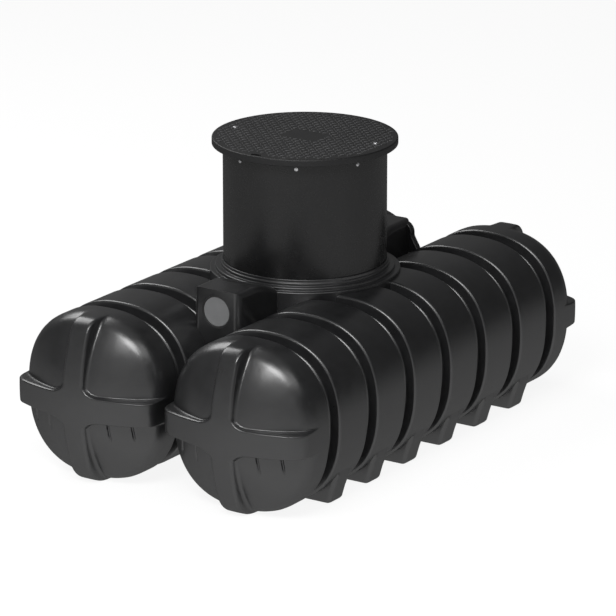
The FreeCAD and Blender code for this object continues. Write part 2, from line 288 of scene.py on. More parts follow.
def mouldedPlastic(name, look):
    # satin moulded plastic: cloudy colour, uneven sheen, a slow wave of the mould and a fine grain
    material, shader, place = newFinish(name)
    cloud = place.noise(look["cloudScale"], detail=4)
    smear = place.noise(look["smearScale"], detail=3, rough=0.6)
    grain = place.noise(look["grainScale"], detail=2)
    wave = place.noise(look["waveScale"], detail=1)
    rubbed = smear * look["smearShare"] + cloud * (1 - look["smearShare"])
    colour = rubbed.between(*look["colourSpan"], 0, 1).blend(look["dark"], look["light"])
    sheen = rubbed.between(*look["sheenSpan"], *look["rough"])
    waveBump = place.node(
        "ShaderNodeBump", {},
        {"Strength": look["waveStrength"], "Distance": look["waveDepth"], "Height": wave})
    grainBump = place.node(
        "ShaderNodeBump", {},
        {"Strength": look["grainStrength"], "Distance": look["grainDepth"], "Height": grain,
         "Normal": waveBump})
    shader.inputs["Specular IOR Level"].default_value = look["gloss"]
    feed(shader, Base_Color=colour, Roughness=sheen, Normal=grainBump)
    return material


shellLook = {
    "dark": (0.0088, 0.0089, 0.0094),
    "light": (0.0126, 0.0128, 0.0135),
    "colourSpan": (0.35, 0.65),
    "cloudScale": 5,
    "smearScale": 22,
    "smearShare": 0.6,
    "grainScale": 700,
    "grainStrength": 0.12,
    "grainDepth": 0.0004,
    "waveScale": 28,
    "waveStrength": 0.04,
    "waveDepth": 0.002,
    "sheenSpan": (0.3, 0.7),
    "rough": (0.27, 0.35),
    "gloss": 0.8,
}
shaftLook = dict(
    shellLook, dark=(0.0045, 0.0045, 0.0047), light=(0.0068, 0.0068, 0.0070),
    rough=(0.24, 0.30), gloss=0.34)
coverLook = dict(
    shellLook, dark=(0.0050, 0.0050, 0.0053), light=(0.0075, 0.0075, 0.0079),
    rough=(0.42, 0.55), grainStrength=0.3, gloss=0.35)
# the tread studs are coloured several times lighter than the cover plate: painted light on the studs,
# and the darker plate between them stands as painted shade in the gaps
treadPaintedLightLook = dict(
    coverLook, dark=(0.046, 0.046, 0.0475), light=(0.066, 0.066, 0.068), rough=(0.30, 0.42))
plugLook = dict(
    shellLook, dark=(0.15, 0.152, 0.155), light=(0.18, 0.182, 0.185), rough=(0.45, 0.55))
sealLook = dict(
    shellLook, dark=(0.008, 0.008, 0.008), light=(0.012, 0.012, 0.012), rough=(0.6, 0.75))
steelLook = {
    "dark": (0.55, 0.55, 0.56),
    "light": (0.78, 0.78, 0.8),
    "scratchScale": 900,
    "sheenSpan": (0.3, 0.7),
    "rough": (0.22, 0.42),
}

shellBlack = mouldedPlastic("shellBlack", shellLook)
shaftBlack = mouldedPlastic("shaftBlack", shaftLook)
coverBlack = mouldedPlastic("coverBlack", coverLook)
treadPaintedLight = mouldedPlastic("treadPaintedLight", treadPaintedLightLook)
plugGrey = mouldedPlastic("plugGrey", plugLook)
sealRubber = mouldedPlastic("sealRubber", sealLook)


def brushedSteel(name, look):
    material, shader, place = newFinish(name)
    scratches = place.noise(look["scratchScale"], detail=3)
    shader.inputs["Metallic"].default_value = 1
    feed(
        shader,
        Base_Color=scratches.blend(look["dark"], look["light"]),
        Roughness=scratches.between(*look["sheenSpan"], *look["rough"]),
    )
    return material


screwSteel = brushedSteel("screwSteel", steelLook)
print("finishes ready")


# Tubes: a squared round section; one rib is modelled with its foot and copied along both tubes

tube = {
    "axisOffset": 0.318,
    "sideReach": 0.2969,
    "topReach": 0.2999,
    "baseReach": 0.3132,
    "upperPower": 2.37,
    "lowerPower": 2.40,
}
rib = {
    "radius": 0.308,
    "groove": 0.262,
    "width": 0.1817,
    "draft": 0.005,
    "wall": 0.010,
    "crestRound": 0.010,
    "grooveRound": 0.012,
    "roundSteps": 5,
    "turns": 144,
    "count": 6,
    "footHalf": 0.2215,
    "footInner": 0.068,
    "footSides": ((0.055, 0.2375), (0.110, 0.2485), (0.160, 0.2555)),
    "footLength": 0.090,
    "footDraft": 0.06,
    "footCorner": 0.017,
    "footRound": 0.015,
    "footSteps": 4,
    "flatHalf": 0.060,
    "manholeRadius": 0.240,
    "manholeFloor": 0.271,
    "manholeHeight": 1,
    "cutterSides": 96,
}
ribLow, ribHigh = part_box("left_rib_1")
ribPitch = ribHigh.y - ribLow.y
axisPlace = -tube["axisOffset"]
axisHeight = tube["baseReach"]
tubeEnd = rib["count"] / 2 * ribPitch


def sectionReach(outward, up):
    # distance from the left tube's axis to its crest, in the direction of a point
    length = math.hypot(outward, up)
    power, reach = tube["lowerPower"], tube["baseReach"]
    if up > 0:
        power, reach = tube["upperPower"], tube["topReach"]
    level = abs(outward / length / tube["sideReach"]) ** power
    upright = abs(up / length / reach) ** power
    return (level + upright) ** (-1 / power)


def squareUp(piece):
    # gives a form turned about the left tube's axis the tube's squared section
    for vert in piece.data.vertices:
        outward, up = axisPlace - vert.co.x, vert.co.z - axisHeight
        if math.hypot(outward, up) > hair:
            share = sectionReach(outward, up) / rib["radius"]
            vert.co = (axisPlace - outward * share, vert.co.y, axisHeight + up * share)


def onTube(across, along):
    # a point of an outline over the left tube's axis
    return Vector((axisPlace, along, axisHeight + across))


def ribOutline(centre):
    wallTop = rib["width"] / 2
    wallFoot = wallTop + rib["draft"]
    return [
        (rib["groove"], centre - wallFoot, rib["grooveRound"]),
        (rib["radius"], centre - wallTop, rib["crestRound"]),
        (rib["radius"], centre + wallTop, rib["crestRound"]),
        (rib["groove"], centre + wallFoot, rib["grooveRound"]),
    ]


def modelFoot():
    # flared block with soft corners under the outer side of the left tube, open to the tube's inside
    half, length = rib["footHalf"], rib["footLength"]
    rise = rib["footSides"][-1][0]
    foot = addBlock(
        "ribFoot", (axisPlace - half, -length / 2, 0), (axisPlace + rib["footInner"], length / 2, rise))
    startEdit(foot)
    for height, reach in rib["footSides"]:
        if height < rise:
            bpy.ops.mesh.select_all(action="SELECT")
            bpy.ops.mesh.bisect(plane_co=(0, 0, height), plane_no=(0, 0, 1))
        pick(foot, "VERT", lambda vert: abs(vert.co.z - height) < hair)
        bpy.ops.transform.resize(
            value=(reach / half, 1 + rib["footDraft"] * height / rise, 1),
            center_override=(axisPlace, 0, height))
    endEdit()

    def upright(edge):
        return abs(edge.verts[0].co.z - edge.verts[1].co.z) > rib["footCorner"]

    bevelEdges(foot, upright, rib["footCorner"], rib["footSteps"])
    bevelEdges(
        foot, lambda edge: max(vert.co.z for vert in edge.verts) < hair,
        rib["footRound"], rib["footSteps"])
    hollow = addRod(
        "footHollow", rib["groove"] - rib["wall"] / 2, length * 2, (axisPlace, 0, axisHeight),
        (math.pi / 2, 0, 0), rib["cutterSides"])
    squareUp(hollow)
    boolean(foot, "DIFFERENCE", hollow)
    return foot


def modelRib():
    half = ribPitch / 2
    inset = rib["wall"]
    inner = [
        (across - inset, along - math.copysign(inset, along), 0)
        for across, along, radius in reversed(ribOutline(0))
    ]
    outline = [(rib["groove"], -half, 0)] + ribOutline(0) + [(rib["groove"], half, 0)]
    outline += [(rib["groove"] - inset, half, 0)] + inner + [(rib["groove"] - inset, -half, 0)]
    points = [onTube(*point) for point in roundCorners(outline, rib["roundSteps"])]
    piece = spinPiece("ribShell", points, (axisPlace, 0, axisHeight), (0, 1, 0), rib["turns"])

    squareUp(piece)
    boolean(piece, "UNION", modelFoot())
    # the web between the two tubes starts inside the groove's wall
    root = axisPlace + rib["groove"] * tube["sideReach"] / rib["radius"] - inset / 2
    flat = addBlock(
        "tubeFlat",
        (root, -half, axisHeight - rib["flatHalf"]),
        (0, half, axisHeight + rib["flatHalf"]),
    )
    boolean(piece, "UNION", flat)
    startEdit(piece)
    bpy.ops.mesh.bisect(plane_co=(0, 0, 0), plane_no=(0, 0, 1), use_fill=True, clear_inner=True)
    endEdit()
    tidyMesh(piece)
    return piece


ribModel = modelRib()
mirrorX = Matrix.Scale(-1, 4, (1, 0, 0))
for side, flip in (("left", Matrix.Identity(4)), ("right", mirrorX)):
    for number in range(1, rib["count"] + 1):
        along = (number - (rib["count"] + 1) / 2) * ribPitch
        move = flip @ Matrix.Translation((0, along, 0))
        shell = copyPiece(ribModel, f"{side}RibShell{number}", move)
        if abs(along) < rib["manholeRadius"]:
            manhole = addRod(
                "manhole", rib["manholeRadius"], rib["manholeHeight"],
                (0, 0, rib["manholeFloor"] + rib["manholeHeight"] / 2), sides=rib["cutterSides"])
            boolean(shell, "DIFFERENCE", manhole)
        smoothShade(shell)
        finishPiece(shell, shellBlack, "tank_shell", f"{side}_rib_{number}")
drop(ribModel)
print("ribs modelled")


# Domed ends: a plain dome is spun, then its four quarters are pressed in between the crossed bands

dome = {
    "bandApex": 1.024,
    "bandKnuckle": 0.070,
    "bandCrown": 0.730,
    "bandRim": 0.308,
    "quarterApex": 1.0079,
    "quarterKnuckle": 0.088,
    "quarterCrown": 0.4555,
    "quarterRim": 0.308,
    "toeApex": 1.024,
    "toeKnuckle": 0.119,
    "toeCrown": 0.730,
    "toeRim": 0.3125,
    "toeStart": 0.10,
    "toeFull": 0.20,
    "uprightHalf": 0.032,
    "levelHalf": 0.0415,
    "levelDrop": 0.009,
    "cornerRound": 0.040,
    "stepWidth": 0.0145,
    "uprightShare": 0.54,
    "stepLean": 80,
    "stepCuts": (
        0, 0.12, 0.22, 0.31, 0.38, 0.44, 0.5, 0.56, 0.62, 0.69, 0.78, 0.88, 1,
        1.15, 1.3, 1.45, 1.6, 1.9, 2.4),
    "turns": 144,
    "outerSteps": (22, 12),
    "innerSteps": (12, 8),
    "flangeSteps": 8,
    "centre": 0.62,
    "faceDepth": 0.05,
    "shadeAngle": 50,
    "notchPlaces": (0.135, 0.233),
    "notchTop": 0.052,
    "notchFoot": 0.120,
    "notchHalf": 0.0042,
    "notchCuts": (-1.5, -0.5, 0.5, 1.5),
    "notchDepth": 0.0055,
}


def domeParts(kind, inset=0):
    # centres and ends of the crown and knuckle arcs of a dished end, as (across, along)
    apex = dome[f"{kind}Apex"] - inset
    knuckle = dome[f"{kind}Knuckle"] - inset
    crown = dome[f"{kind}Crown"] - inset
    rim = dome[f"{kind}Rim"] - inset
    reach = math.sqrt((crown - knuckle) ** 2 - (rim - knuckle) ** 2)
    lean = math.atan2(rim - knuckle, reach)
    start = apex - crown + reach
    return {"apex": apex, "knuckle": knuckle, "crown": crown, "rim": rim, "start": start, "lean": lean}


def domePoints(kind, inset, crownSteps, knuckleSteps):
    part = domeParts(kind, inset)
    points = []
    for step in range(crownSteps + 1):
        angle = part["lean"] * step / crownSteps
        along = part["apex"] - part["crown"] * (1 - math.cos(angle))
        points.append((part["crown"] * math.sin(angle), along))
    for step in range(1, knuckleSteps + 1):
        angle = part["lean"] + (math.pi / 2 - part["lean"]) * step / knuckleSteps
        across = part["rim"] - part["knuckle"] * (1 - math.sin(angle))
        points.append((across, part["start"] + part["knuckle"] * math.cos(angle)))
    return points


def domeReach(kind, across, along):
    # distance from the dome's centre to one of its surfaces, in the direction of a point
    part = domeParts(kind)
    length = math.hypot(across, along)
    sine, cosine = across / length, along / length

    def meet(circleAcross, circleAlong, radius):
        dot = sine * circleAcross + cosine * circleAlong
        away = circleAcross ** 2 + circleAlong ** 2 - radius ** 2
        return dot + math.sqrt(max(dot ** 2 - away, 0))

    crownMiddle = part["apex"] - part["crown"] - dome["centre"]
    joinAcross = part["crown"] * math.sin(part["lean"])
    joinAlong = crownMiddle + part["crown"] * math.cos(part["lean"])
    rimAlong = part["start"] - dome["centre"]
    angle = math.atan2(across, along)
    if angle < math.atan2(joinAcross, joinAlong):
        return meet(0, crownMiddle, part["crown"])
    if angle < math.atan2(part["rim"], rimAlong):
        return meet(part["rim"] - part["knuckle"], rimAlong, part["knuckle"])
    return part["rim"] / max(sine, hair)


def easeStep(share):
    share = min(max(share, 0), 1)
    return share * share * (3 - 2 * share)


def stepFall(share):
    # two arcs that meet in a steep wall, from 0 on the band to 1 at the wall's foot
    share = min(max(share, 0), 1)
    if share > 0.5:
        return 1 - stepFall(1 - share)
    lean = math.radians(dome["stepLean"])
    return (1 - math.sqrt(1 - (2 * share * math.sin(lean)) ** 2)) / (2 * (1 - math.cos(lean)))


def pressDepth(across, up):
    # how far a point lies into a quarter, 0 on the bands and 1 on the quarter's dome
    sideways = (abs(across) - dome["uprightHalf"]) * dome["uprightShare"]
    upwards = abs(up + dome["levelDrop"]) - dome["levelHalf"]
    corner = dome["cornerRound"]
    depth = min(sideways, upwards)
    if 0 < sideways < corner and 0 < upwards < corner:
        depth = corner - math.hypot(corner - sideways, corner - upwards)
    return stepFall(depth / dome["stepWidth"])


def notchPress(across, up):
    # shallow upright marks moulded into the lower quarters
    edge = dome["notchHalf"]
    halfLength = (dome["notchFoot"] - dome["notchTop"]) / 2
    fromMiddle = abs(up + (dome["notchTop"] + dome["notchFoot"]) / 2)
    nearEnd = 1 - easeStep((fromMiddle - halfLength) / (edge * 2))
    depth = 0
    for place in dome["notchPlaces"]:
        nearSide = 1 - easeStep((abs(abs(across) - place) - edge / 2) / edge)
        depth = max(depth, nearSide * nearEnd)
    return depth * dome["notchDepth"]


def modelEnd():
    wallTop = tubeEnd + ribPitch / 2 - rib["width"] / 2
    outer = domePoints("band", 0, *dome["outerSteps"])
    flange, steps = outer[-1][1], dome["flangeSteps"]
    outer += [(rib["radius"], flange + (wallTop - flange) * step / steps) for step in range(1, steps)]
    edge = roundCorners(
        [(rib["radius"], flange, 0), (rib["radius"], wallTop, rib["crestRound"]),
         (rib["groove"], wallTop - rib["draft"], rib["grooveRound"]), (rib["groove"], tubeEnd, 0)],
        rib["roundSteps"])
    outer += [tuple(point) for point in edge[1:]]
    inner = domePoints("quarter", rib["wall"], *dome["innerSteps"])
    inner += [
        (rib["radius"] - rib["wall"], wallTop + rib["wall"]),
        (rib["groove"] - rib["wall"], wallTop - rib["draft"] + rib["wall"]),
        (rib["groove"] - rib["wall"], tubeEnd),
    ]
    points = [onTube(across, -along) for across, along in outer + inner[::-1]]
    piece = spinPiece(
        "endShell", points, (axisPlace, 0, axisHeight), (0, 1, 0), dome["turns"], closed=False)

    startEdit(piece)
    middlePoint = Vector((axisPlace, -dome["centre"], axisHeight))

    def local(vert):
        spot = vert.co - middlePoint
        return spot.x, -spot.y, spot.z

    def isOuter(face):
        spot = face.calc_center_median() - middlePoint
        return spot.dot(face.normal) > 0 and spot.y < -dome["faceDepth"]

    offsets = [dome["stepWidth"] * cut for cut in dome["stepCuts"]]
    edges = [(0, dome["uprightHalf"] + offset / dome["uprightShare"]) for offset in offsets]
    edges += [(2, dome["levelHalf"] + offset) for offset in offsets]
    for place in dome["notchPlaces"]:
        edges += [(0, place + dome["notchHalf"] * share) for share in dome["notchCuts"]]
    for axis, offset in edges:
        for sign in (-1, 1):
            cut = middlePoint.copy()
            cut[axis] += sign * offset - (dome["levelDrop"] if axis == 2 else 0)
            normal = Vector((0, 0, 0))
            normal[axis] = 1
            pick(piece, "FACE", isOuter)
            bpy.ops.mesh.bisect(plane_co=cut, plane_no=normal)
    endEdit()

    for vert in piece.data.vertices:
        across, along, up = local(vert)
        ring = math.hypot(across, up)
        if along < dome["faceDepth"] or ring < hair:
            continue
        length = math.hypot(ring, along)
        target = domeReach("quarter", ring, along)
        if length < target - slack:
            continue
        # the upright band's lower arm runs out into the toe
        toeShare = easeStep((-up - dome["toeStart"]) / (dome["toeFull"] - dome["toeStart"]))
        band = length + (domeReach("toe", ring, along) - length) * toeShare
        depth = pressDepth(across, up)
        pressed = band + (target - band) * depth
        if up < 0:
            pressed -= notchPress(across, up) * depth
        vert.co = middlePoint + (vert.co - middlePoint) * pressed / length
    squareUp(piece)
    startEdit(piece)
    bpy.ops.mesh.bisect(plane_co=(0, 0, 0), plane_no=(0, 0, 1), use_fill=True, clear_inner=True)
    endEdit()
    tidyMesh(piece)
    return piece


endModel = modelEnd()
mirrorY = Matrix.Scale(-1, 4, (0, 1, 0))
for side, flipSide in (("left", Matrix.Identity(4)), ("right", mirrorX)):
    for facing, flipEnd in (("front", Matrix.Identity(4)), ("back", mirrorY)):
        shell = copyPiece(endModel, f"{side}{facing.title()}EndShell", flipSide @ flipEnd)
        smoothShade(shell, dome["shadeAngle"])
        finishPiece(shell, shellBlack, "tank_shell", f"{side}_{facing}_end")
drop(endModel)
print("ends modelled")


# Neck: the stepped collar and the two pipe connectors, trimmed to the tubes that they sit on

collar = {
    "foot": 0.381,
    "radius": 0.350,
    "wall": 0.012,
    "shoulder": 0.626,
    "stepHeight": 0.012,
    "stepWidth": 0.020,
    "lipHeight": 0.011,
    "lipWall": 0.006,
    "bore": 0.3003,
    "seat": 0.631,
    "ledgeRadius": 0.272,
    "ledge": 0.014,
    "edgeRound": 0.0035,
    "cornerShare": 0.6,
    "boreShare": 0.4,
    "steps": 3,
    "roundSteps": 4,
    "turns": 192,
    "seamGap": 0.0003,
    "cutterRoundSteps": 3,
    "cutterHeight": 2,
    "cutterMiddle": 0.5,
}


def aboutZ(across, up):
    return Vector((across, 0, up))


def modelTubeCutters():
    # the two tubes as filled bodies, to trim what sits on them
    gap = collar["seamGap"]
    outline = [(rib["groove"] + gap, -tubeEnd, 0)]
    for number in range(rib["count"]):
        centre = (number - (rib["count"] - 1) / 2) * ribPitch
        outline += [(across + gap, along, radius) for across, along, radius in ribOutline(centre)]
    outline += [(rib["groove"] + gap, tubeEnd, 0)]
    points = [onTube(*point) for point in roundCorners(outline, collar["cutterRoundSteps"])]
    points = [onTube(0, -tubeEnd)] + points + [onTube(0, tubeEnd)]
    left = spinPiece(
        "leftCutter", points, (axisPlace, 0, axisHeight), (0, 1, 0), rib["turns"], closed=False)
    squareUp(left)
    return left, copyPiece(left, "rightCutter", mirrorX)


def modelCollar(cutters):
    radius, rise, width = collar["radius"], collar["stepHeight"], collar["stepWidth"]
    edge, shoulder, last = collar["edgeRound"], collar["shoulder"], collar["steps"] - 1
    corner, lip = edge * collar["cornerShare"], collar["bore"] + collar["lipWall"]
    outline = [(radius, collar["foot"], 0)]
    for step in range(collar["steps"]):
        outline.append((radius - step * width, shoulder + step * rise, edge))
        inward = radius - (step + 1) * width if step < last else lip
        outline.append((inward, shoulder + step * rise, corner))
    lipTop = shoulder + last * rise + collar["lipHeight"]
    under = collar["seat"] - collar["ledge"]
    outline += [
        (lip, lipTop, corner),
        (collar["bore"], lipTop, edge * collar["boreShare"]),
        (collar["bore"], collar["seat"], 0),
        (collar["ledgeRadius"], collar["seat"], 0),
        (collar["ledgeRadius"], under, 0),
        (radius - collar["wall"], under, 0),
        (radius - collar["wall"], collar["foot"], 0),
    ]
    points = [aboutZ(*point) for point in roundCorners(outline, collar["roundSteps"])]
    piece = spinPiece("neckCollarShell", points, (0, 0, 0), (0, 0, 1), collar["turns"])
    for cutter in cutters:
        boolean(piece, "DIFFERENCE", cutter, keepTool=True)
    tidyMesh(piece)
    smoothShade(piece)
    finishPiece(piece, shellBlack, "tank_shell", "neck_collar")


connector = {
    "half": 0.100,
    "face": 0.578,
    "crest": 0.445,
    "crestSoft": 0.030,
    "back": 0.310,
    "foot": 0.383,
    "top": 0.679,
    "backTop": 0.633,
    "frontRound": 0.026,
    "topRound": 0.024,
    "rimRound": 0.005,
    "rimAngle": 0.35,
    "rimFloor": 0.483,
    "roundSteps": 6,
    "crestCuts": (-2, -1, 0, 1, 2),
    "planFoot": 0.373,
    "planHeight": 0.5,
    "pipeHeight": 0.597,
    "socketRadius": 0.060,
    "socketDepth": 0.060,
    "socketSides": 72,
    "mouthRound": 0.003,
    "mouthAngle": 0.8,
    "hoodHalf": 0.119,
    "hoodTop": 0.672,
    "hoodRound": 0.040,
    "hoodWaist": 0.620,
    "hoodReach": 0.155,
    "hoodFoot": 0.558,
    "hoodWaistRound": 0.030,
    "hoodSpan": (0.545, 0.573),
    "hoodRim": 0.004,
    "hoodAngle": 1.2,
    "hoodSteps": 7,
}


def connectorFall(along):
    # share of the top's height that is left at a place along the connector
    length = connector["crest"] - connector["back"]
    soft = connector["crestSoft"]
    past = along + connector["crest"]
    fall = 0
    if past > soft:
        fall = past
    elif past > -soft:
        fall = (past + soft) ** 2 / (4 * soft)
    lowest = (connector["top"] - connector["backTop"]) / (connector["top"] - connector["foot"])
    return 1 - lowest * fall / length


def modelConnector():
    # a rounded block, rounded again in plan, whose top falls towards the collar
    half, top, foot = connector["half"], connector["top"], connector["foot"]
    face, soft, steps = connector["face"], connector["topRound"], connector["roundSteps"]
    outline = [(-half, foot, 0), (half, foot, 0), (half, top, soft), (-half, top, soft)]
    points = [Vector((across, -face, up)) for across, up in roundCorners(outline, steps)]
    piece = extrudePiece("connectorShell", points, Vector((0, face - connector["back"], 0)))
    startEdit(piece)
    for step in connector["crestCuts"]:
        bpy.ops.mesh.select_all(action="SELECT")
        cut = -connector["crest"] + connector["crestSoft"] * step / 2
        bpy.ops.mesh.bisect(plane_co=(0, cut, 0), plane_no=(0, 1, 0))
    endEdit()
    for vert in piece.data.vertices:
        vert.co.z = foot + (vert.co.z - foot) * connectorFall(vert.co.y)

    side, turn = half + collar["seamGap"], connector["frontRound"]
    plan = [(-side, -face, turn), (side, -face, turn), (side, 0, 0), (-side, 0, 0)]
    points = [
        Vector((across, along, connector["planFoot"])) for across, along in roundCorners(plan, steps)]
    planBlock = extrudePiece("connectorPlan", points, Vector((0, 0, connector["planHeight"])))
    boolean(piece, "INTERSECT", planBlock)
    tidyMesh(piece)

    def onRim(edge):
        spot = middle(edge)
        sharp = len(edge.link_faces) == 2 and edge.calc_face_angle() > connector["rimAngle"]
        return sharp and spot.y < turn - face and spot.z > connector["rimFloor"]

    bevelEdges(piece, onRim, connector["rimRound"], steps=3)
    socket = addRod(
        "socket", connector["socketRadius"], connector["socketDepth"] * 2,
        (0, -face, connector["pipeHeight"]), (math.pi / 2, 0, 0), connector["socketSides"])
    boolean(piece, "DIFFERENCE", socket)
    return piece


def addHood(piece):
    # a moulded hood round the far end, which runs out to the tubes at its foot
    half, reach = connector["hoodHalf"], connector["hoodReach"]
    foot, waist, top = connector["hoodFoot"], connector["hoodWaist"], connector["hoodTop"]
    outline = [
        (-reach, foot, 0), (reach, foot, 0), (half, waist, connector["hoodWaistRound"]),
        (half, top, connector["hoodRound"]), (-half, top, connector["hoodRound"]),
        (-half, waist, connector["hoodWaistRound"])]
    near, far = connector["hoodSpan"]
    points = [Vector((across, -far, up)) for across, up in roundCorners(outline, connector["hoodSteps"])]
    hood = extrudePiece("connectorHood", points, Vector((0, far - near, 0)))

    def onRim(edge):
        sharp = edge.calc_face_angle() > connector["hoodAngle"]
        return sharp and not runsAlong(edge, 1) and middle(edge).z > foot + slack

    bevelEdges(hood, onRim, connector["hoodRim"], steps=3)
    boolean(piece, "UNION", hood)


def seatConnector(piece, cutters):
    neck = addRod(
        "neck", collar["radius"] + collar["seamGap"], collar["cutterHeight"],
        (0, 0, collar["cutterMiddle"]), sides=collar["turns"])
    boolean(piece, "DIFFERENCE", neck)
    for cutter in cutters:
        boolean(piece, "DIFFERENCE", cutter, keepTool=True)
    tidyMesh(piece)

    def onMouth(vert):
        reach = math.hypot(vert.co.x, vert.co.z - connector["pipeHeight"])
        onFace = vert.co.y < slack * 2 - connector["face"]
        return onFace and abs(reach - connector["socketRadius"]) < slack

    def roundsMouth(edge):
        sharp = len(edge.link_faces) == 2 and edge.calc_face_angle() > connector["mouthAngle"]
        return sharp and all(onMouth(vert) for vert in edge.verts)

    bevelEdges(piece, roundsMouth, connector["mouthRound"], steps=2)


plug = {
    "radius": 0.0548,
    "sealInner": 0.0552,
    "recess": 0.003,
    "depth": 0.020,
    "dish": 0.0012,
    "dishRadius": 0.047,
    "dishSlope": 0.003,
    "edgeRound": 0.002,
    "roundSteps": 4,
    "turns": 96,
    "sealGap": 0.0002,
    "sealFront": 0.0005,
    "sealBack": 0.059,
    "sealRound": 0.001,
    "sealSteps": 3,
}


def onPipe(across, inward):
    return Vector((across, -connector["face"] + inward, connector["pipeHeight"]))


def modelPlug():
    outline = [
        (0.0, plug["recess"] + plug["dish"], 0),
        (plug["dishRadius"] - plug["dishSlope"], plug["recess"] + plug["dish"], 0),
        (plug["dishRadius"], plug["recess"], 0),
        (plug["radius"], plug["recess"], plug["edgeRound"]),
        (plug["radius"], plug["recess"] + plug["depth"], 0),
        (0.0, plug["recess"] + plug["depth"], 0),
    ]
    points = [onPipe(*point) for point in roundCorners(outline, plug["roundSteps"])]
    return spinPiece("plugDisc", points, onPipe(0, 0), (0, 1, 0), plug["turns"], closed=False)


def modelSeal():
    outer = connector["socketRadius"] - plug["sealGap"]
    outline = [
        (plug["sealInner"], plug["sealFront"], plug["sealRound"]),
        (outer, plug["sealFront"], plug["sealRound"]),
        (outer, plug["sealBack"], 0),
        (plug["sealInner"], plug["sealBack"], 0),
    ]
    points = [onPipe(*point) for point in roundCorners(outline, plug["sealSteps"])]
    return spinPiece("sealRing", points, onPipe(0, 0), (0, 1, 0), plug["turns"])


def addNeck():
    cutters = modelTubeCutters()
    modelCollar(cutters)
    front = modelConnector()
    back = copyPiece(front, "backConnectorModel", Matrix.Identity(4))
    addHood(back)
    seatConnector(front, cutters)
    seatConnector(back, cutters)
    drop(*cutters)
    makers = (
        (front, back, "Connector", "connector", shellBlack, "tank_shell"),
        (modelSeal(), None, "PipeSeal", "pipe_seal", sealRubber, "seal_rubber"),
        (modelPlug(), None, "Plug", "plug", plugGrey, "plug_grey"),
    )
    for frontModel, backModel, title, node, material, slotName in makers:
        backModel = backModel or copyPiece(frontModel, "backModel", Matrix.Identity(4))
        ends = (("front", frontModel, Matrix.Identity(4)), ("back", backModel, mirrorY))
        for facing, model, flip in ends:
            piece = copyPiece(model, f"{facing}{title}Shell", flip)
            smoothShade(piece)
            finishPiece(piece, material, slotName, f"{facing}_{node}")
            drop(model)


addNeck()
print("neck modelled")


# Access shaft with its screws, and the cover with its tread, bolts and lifting slot

shaft = {
    "radius": 0.300,
    "wall": 0.010,
    "seat": 0.631,
    "top": 1.093,
    "edgeRound": 0.002,
    "roundSteps": 3,
    "turns": 192,
    "screwCount": 8,
    "screwTurn": 27.25,
    "screwHeight": 1.073,
    "screwRadius": 0.0050,
    "screwRise": 0.0030,
    "washerRadius": 0.0066,
}
screw = {
    "sides": 20,
    "lift": 0.001,
    "crownShare": 0.6,
    "slotWidth": 0.0018,
    "slotShare": 1.15,
    "slotFloor": 0.6,
    "washerSides": 24,
    "washerThick": 0.002,
    "washerPlace": 0.0002,
    "washerRound": 0.0006,
    "shadeAngle": 40,
}


def modelShaft():
    inside = shaft["radius"] - shaft["wall"]
    outline = [
        (inside, shaft["seat"], 0),
        (shaft["radius"], shaft["seat"], shaft["edgeRound"]),
        (shaft["radius"], shaft["top"], shaft["edgeRound"]),
        (inside, shaft["top"], 0),
    ]
    points = [aboutZ(*point) for point in roundCorners(outline, shaft["roundSteps"])]
    piece = spinPiece("accessShaftTube", points, (0, 0, 0), (0, 0, 1), shaft["turns"])
    smoothShade(piece)
    finishPiece(piece, shaftBlack, "shaft_shell", "access_shaft")


def modelScrew(name, radius, rise, washer):
    # pan head with a crossed recess on a thin washer, facing up at the origin
    piece = addRod(name, radius, rise, (0, 0, rise / 2 + screw["lift"]), sides=screw["sides"])
    bevelEdges(
        piece, lambda edge: middle(edge).z > rise and edge.calc_length() < radius,
        rise * screw["crownShare"], steps=3)
    along, across = radius * screw["slotShare"] / 2, screw["slotWidth"] / 2
    for turn in (0, math.pi / 2):
        blade = addBlock(
            "blade", (-along, -across, rise * screw["slotFloor"]), (along, across, rise * 2))
        blade.data.transform(Matrix.Rotation(turn, 4, "Z"))
        boolean(piece, "DIFFERENCE", blade)
    disc = addRod(
        "washer", washer, screw["washerThick"], (0, 0, screw["washerPlace"]), sides=screw["washerSides"])
    bevelEdges(
        disc, lambda edge: middle(edge).z > slack and edge.calc_length() < washer,
        screw["washerRound"], steps=2)
    bpy.ops.object.select_all(action="DESELECT")
    disc.select_set(True)
    piece.select_set(True)
    bpy.context.view_layer.objects.active = piece
    bpy.ops.object.join()
    smoothShade(piece, screw["shadeAngle"])
    return piece


def addScrews():
    model = modelScrew("screwModel", shaft["screwRadius"], shaft["screwRise"], shaft["washerRadius"])
    for number in range(shaft["screwCount"]):
        turn = math.radians(shaft["screwTurn"] + number * 360 / shaft["screwCount"])
        spot = Matrix.Translation((shaft["radius"], 0, shaft["screwHeight"]))
        outward = Matrix.Rotation(turn, 4, "Z") @ spot @ Matrix.Rotation(math.pi / 2, 4, "Y")
        finishPiece(copyPiece(model, f"shaftScrew{number + 1}", outward), screwSteel, "screw_steel")
    drop(model)


cover = {
    "radius": 0.340,
    "plateTop": 1.1188,
    "plate": 0.018,
    "rimInner": 0.284,
    "edgeRound": 0.005,
    "underRound": 0.002,
    "roundSteps": 5,
    "turns": 192,
    "treadSides": 10,
    "treadTop": (0.8, 0.55),
    "treadTurn": 45,
    "treadAngle": 25,
    "treadPitch": 0.0215,
    "treadLength": 0.0185,
    "treadWidth": 0.0062,
    "treadRise": 0.0026,
    "treadReach": 0.331,
    "panelHalf": (0.085, 0.05),
    "boltTurn": 9,
    "boltPlace": 0.280,
    "boltRadius": 0.0075,
    "boltRise": 0.0025,
    "boltWasher": 0.0105,
    "boltMargin": 0.008,
    "slotPlace": 0.320,
    "slotHalf": (0.020, 0.009, 0.015),
    "slotRoundShare": 0.9,
    "slotMargin": 0.010,
}


